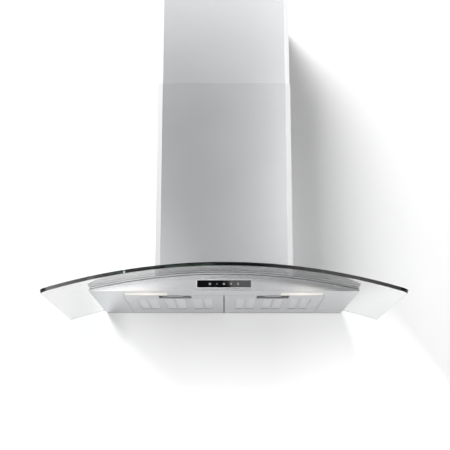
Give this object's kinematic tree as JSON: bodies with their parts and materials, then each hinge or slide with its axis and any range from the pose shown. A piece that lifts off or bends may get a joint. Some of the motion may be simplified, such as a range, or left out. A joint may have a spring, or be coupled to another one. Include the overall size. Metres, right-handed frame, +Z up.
{
  "type": "range hood",
  "caption": "Wall range hood with a bent glass canopy, stainless body, touch strip, tilting grease filters, twin lamps, blower and telescopic chimney.",
  "frame": {"origin": "midway between the two wall-hanging holes, on the wall plane at the back of the blower housing", "axes": "+X to the right seen from the room, +Y into the wall, +Z up; the front faces -Y"},
  "size_m": [0.9, 0.5, 0.9191],
  "materials": {
    "stainless": "brushed satin",
    "chimney_stainless": "fine brushed satin",
    "galvanised": "dull zinc",
    "glass": "clear, dark green edge",
    "rubber": "matte",
    "polished_steel": "polished",
    "zinc_fastener": "zinc plated",
    "nylon": "natural",
    "black_glass": "gloss",
    "aluminium": "satin",
    "mesh_aluminium": "bright mesh",
    "circuit_board": "matte",
    "lamp_lens": "frosted",
    "black_plastic": "matte",
    "grey_plastic": "matte",
    "white_plastic": "matte",
    "spring_steel": "bright"
  },
  "bodies": {
    "canopy": {"base_plate": "stainless", "blower_housing": "galvanised", "cable_gland": "black_plastic", "canopy_shell": "stainless", "capacitor": "aluminium", "chimney_wall_bracket": "galvanised", "control_bezel": "polished_steel", "control_board": "circuit_board", "control_glass": "black_glass", "damper_axle": "spring_steel", "electronics_box": "white_plastic", "electronics_lid": "white_plastic", "filter_keeper_left": "spring_steel", "filter_keeper_right": "spring_steel", "front_fascia": "stainless", "glass_canopy": "glass", "glass_fixing_bushes": "nylon", "glass_fixing_caps": "polished_steel", "glass_fixing_studs": "zinc_fastener", "glass_gasket": "rubber", "hanger_plate": "galvanised", "housing_screws": "zinc_fastener", "lamp_board_left": "circuit_board", "lamp_board_right": "circuit_board", "lamp_housing_left": "aluminium", "lamp_housing_right": "aluminium", "lamp_lens_left": "lamp_lens", "lamp_lens_right": "lamp_lens", "lower_chimney_cover": "chimney_stainless", "motor": "galvanised", "motor_bracket": "galvanised", "outlet_collar": "black_plastic", "scroll_half_left": "black_plastic", "scroll_half_right": "black_plastic"},
    "upper_cover": {"upper_chimney_cover": "chimney_stainless"},
    "impeller": {"impeller": "grey_plastic", "motor_shaft": "spring_steel"},
    "damper_left": {"damper_flap_left": "black_plastic"},
    "damper_right": {"damper_flap_right": "black_plastic"},
    "filter_left": {"filter_frame_left": "stainless", "filter_mesh_left": "mesh_aluminium", "latch_cup_left": "stainless", "latch_spring_left": "spring_steel"},
    "latch_left": {"latch_left": "stainless"},
    "filter_right": {"filter_frame_right": "stainless", "filter_mesh_right": "mesh_aluminium", "latch_cup_right": "stainless", "latch_spring_right": "spring_steel"},
    "latch_right": {"latch_right": "stainless"}
  },
  "joints": [
    {"name": "upper_cover_slide", "type": "slide", "parent": "canopy", "child": "upper_cover", "axis": [0, 0, 1], "range_m": [-0.28, 0.1]},
    {"name": "impeller_spin", "type": "hinge", "parent": "canopy", "child": "impeller", "pos_m": [0, -0.09, -0.04], "axis": [1, 0, 0], "continuous": true},
    {"name": "damper_left_swing", "type": "hinge", "parent": "canopy", "child": "damper_left", "pos_m": [0, -0.139, 0.12], "axis": [0, 1, 0], "range_deg": [0, 80]},
    {"name": "damper_right_swing", "type": "hinge", "parent": "canopy", "child": "damper_right", "pos_m": [0, -0.139, 0.12], "axis": [0, -1, 0], "range_deg": [0, 80]},
    {"name": "filter_left_tilt", "type": "hinge", "parent": "canopy", "child": "filter_left", "pos_m": [-0.13125, -0.0085, -0.1985], "axis": [1, 0, 0], "range_deg": [0, 45], "deforming": ["filter_keeper_left"]},
    {"name": "latch_left_slide", "type": "slide", "parent": "filter_left", "child": "latch_left", "axis": [0, 1, 0], "range_m": [0, 0.008], "stiffness_N_per_m": 400, "deforming": ["latch_spring_left"]},
    {"name": "filter_right_tilt", "type": "hinge", "parent": "canopy", "child": "filter_right", "pos_m": [0.13125, -0.0085, -0.1985], "axis": [1, 0, 0], "range_deg": [0, 45], "deforming": ["filter_keeper_right"]},
    {"name": "latch_right_slide", "type": "slide", "parent": "filter_right", "child": "latch_right", "axis": [0, 1, 0], "range_m": [0, 0.008], "stiffness_N_per_m": 400, "deforming": ["latch_spring_right"]}
  ]
}
